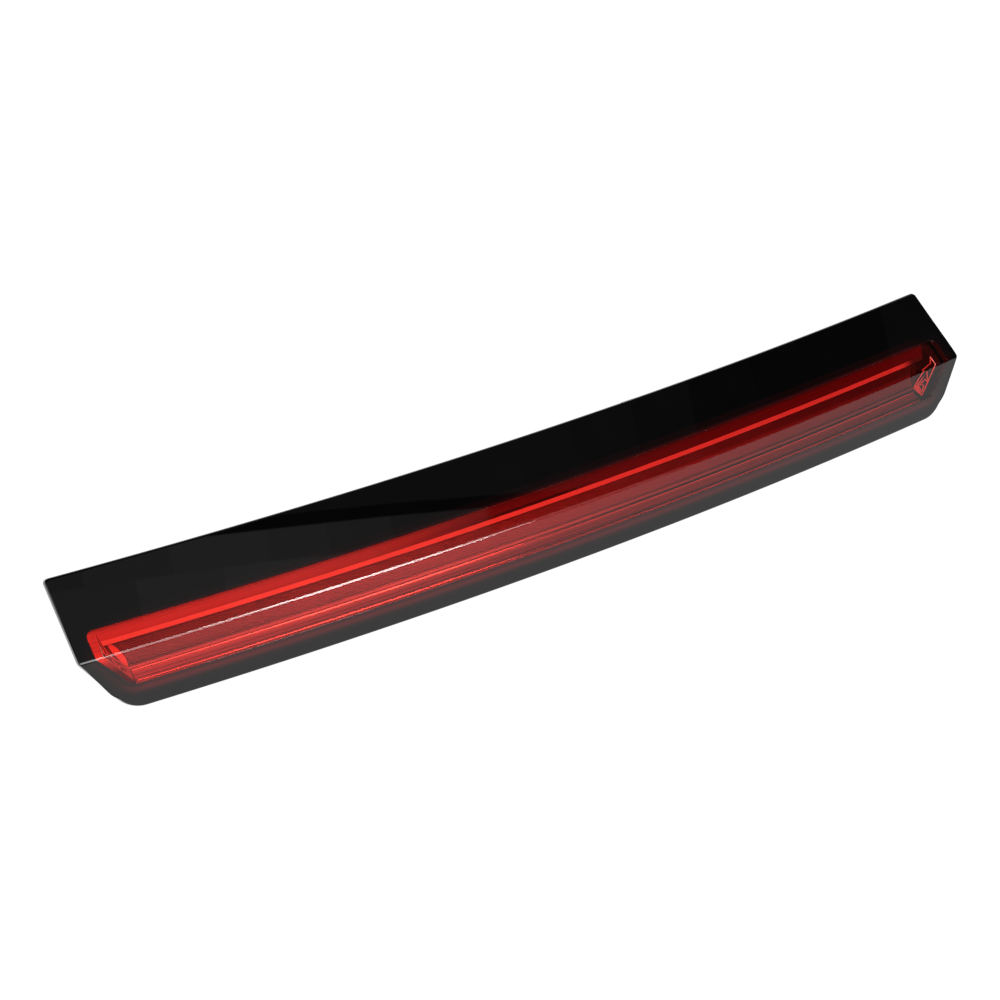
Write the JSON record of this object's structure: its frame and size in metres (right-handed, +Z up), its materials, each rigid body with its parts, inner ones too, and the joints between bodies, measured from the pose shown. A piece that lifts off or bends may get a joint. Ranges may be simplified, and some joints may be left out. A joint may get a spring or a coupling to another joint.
{
  "type": "third brake light",
  "caption": "Slim bowed high-mounted brake light: gloss black folded cap, flush red window, LED row behind, studs and plug socket at the back.",
  "frame": {"origin": "middle of the two-stud line, on the plane of the stud seats", "axes": "+X along the lamp (to the right seen from behind the vehicle), +Y forward into the vehicle along the studs, +Z up"},
  "size_m": [0.45, 0.0701, 0.0458],
  "materials": {
    "bezel_black": "piano-black moulded PMMA",
    "lens_red": "polished transparent red PMMA",
    "reflector_bright": "bright smooth reflector plastic",
    "inner_lens_red": "fluted transparent red polycarbonate",
    "grid_white": "white diffuse polycarbonate",
    "board_white": "white solder mask over laminate",
    "led_body": "white package with a pale emitter",
    "component_black": "black moulded package",
    "component_tan": "tan ceramic",
    "screw_steel": "zinc plated steel",
    "housing_black": "fine-textured black ASA",
    "foam_black": "closed-cell foam",
    "socket_black": "glass-filled nylon",
    "seal_orange": "silicone",
    "terminal_tin": "tin plated",
    "membrane_white": "expanded PTFE membrane"
  },
  "bodies": {
    "root": {"black_bezel": "bezel_black", "board_screws": "screw_steel", "connector_seal": "seal_orange", "connector_socket": "socket_black", "driver_chip": "component_black", "filter_capacitor": "component_tan", "inner_lens": "inner_lens_red", "led_01": "led_body", "led_02": "led_body", "led_03": "led_body", "led_04": "led_body", "led_05": "led_body", "led_06": "led_body", "led_07": "led_body", "led_08": "led_body", "led_09": "led_body", "led_10": "led_body", "led_11": "led_body", "led_12": "led_body", "led_board": "board_white", "lower_edge_seal": "foam_black", "mounting_gasket": "foam_black", "outer_lens": "lens_red", "protection_diode": "component_black", "rear_housing": "housing_black", "reflector_grid": "grid_white", "resistor_1": "component_black", "resistor_2": "component_black", "resistor_3": "component_black", "resistor_4": "component_black", "resistor_5": "component_black", "resistor_6": "component_black", "stud_left": "screw_steel", "stud_right": "screw_steel", "terminal_ground": "terminal_tin", "terminal_supply": "terminal_tin", "trough_reflector": "reflector_bright", "upper_edge_seal": "foam_black", "vent_cover": "socket_black", "vent_membrane": "membrane_white"}
  },
  "joints": []
}
